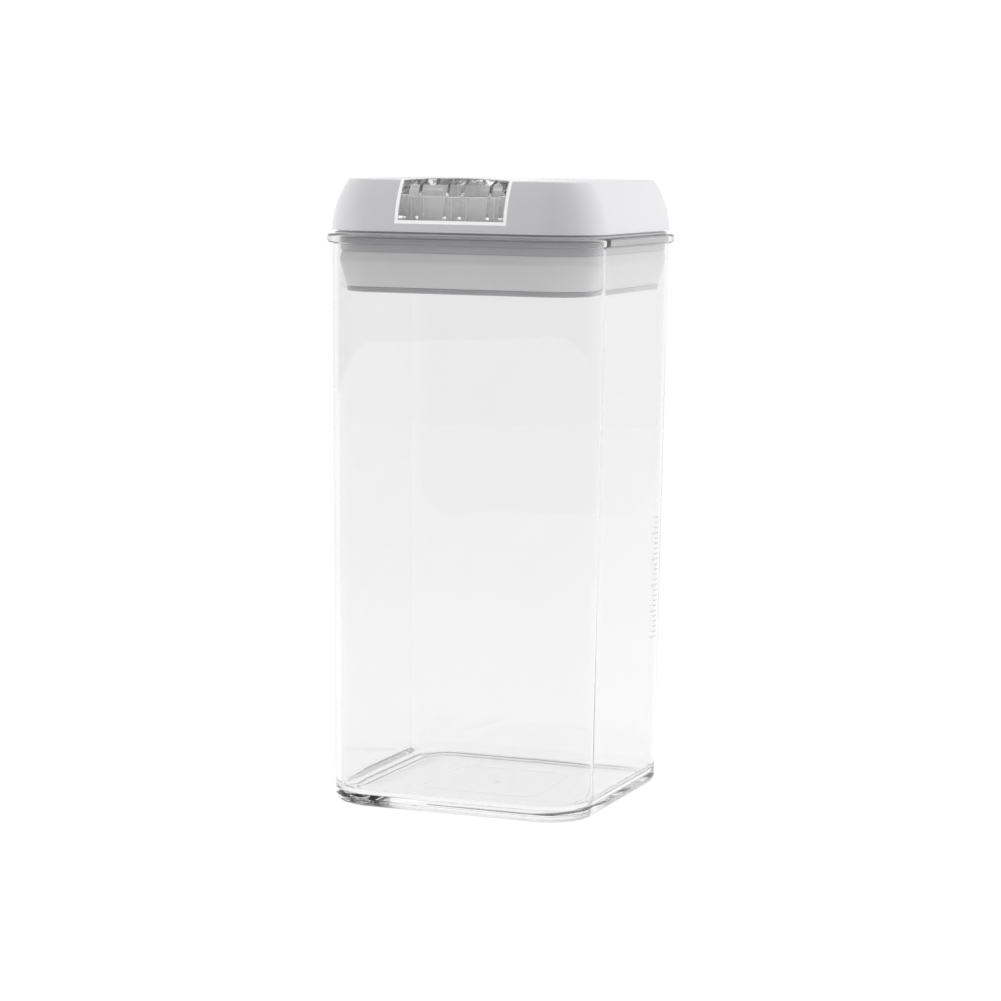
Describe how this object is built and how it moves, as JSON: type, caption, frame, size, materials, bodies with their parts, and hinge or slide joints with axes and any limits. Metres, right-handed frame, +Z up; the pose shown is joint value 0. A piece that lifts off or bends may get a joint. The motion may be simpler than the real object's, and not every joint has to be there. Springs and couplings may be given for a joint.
{
  "type": "flip-lid food canister",
  "caption": "Tall square clear canister with a domed white lid; a clear flip lever in the lid lifts a press plate and squeezes a silicone seal against the neck.",
  "frame": {"origin": "under the middle of the foot ring, which is the middle of the bounding box's bottom", "axes": "+Z up through the lid; -Y is the front, where the lever's lip is; +X is to the right of someone facing the front"},
  "size_m": [0.11, 0.11, 0.2323],
  "materials": {
    "clear_body": "clear, polished",
    "clear_lever": "clear, polished",
    "white_lid": "gloss",
    "white_well": "gloss",
    "white_deck": "satin gloss",
    "silicone": "soft matt",
    "stem_plastic": "smooth matt",
    "steel_screws": "zinc-bright",
    "spring_steel": "stainless"
  },
  "bodies": {
    "canister": {"canister_body": "clear_body"},
    "lid": {"lid_cover": "white_lid", "lever_well": "white_well", "lid_deck": "white_deck", "deck_screws": "steel_screws", "seal_gasket": "silicone", "cam_plate": "spring_steel", "return_spring": "spring_steel"},
    "plate": {"press_plate": "white_deck", "draw_stem": "stem_plastic", "stem_screw": "steel_screws", "seal_washer": "silicone", "screw_cap": "white_deck"},
    "lever": {"flip_lever": "clear_lever", "lever_pin": "spring_steel"}
  },
  "joints": [
    {"name": "lid_lift", "type": "slide", "parent": "canister", "child": "lid", "axis": [0, 0, 1], "range_m": [0, 0.15]},
    {"name": "plate_travel", "type": "slide", "parent": "lid", "child": "plate", "axis": [0, 0, 1], "range_m": [-0.003, 0], "deforming": ["seal_gasket", "return_spring"]},
    {"name": "lever_flip", "type": "hinge", "parent": "plate", "child": "lever", "pos_m": [0, 0, 0.2263], "axis": [-1, 0, 0], "range_deg": [0, 90]}
  ],
  "couplings": [
    {"joint": "plate_travel", "follows": "lever_flip", "m_per_rad": -0.0019098}
  ]
}
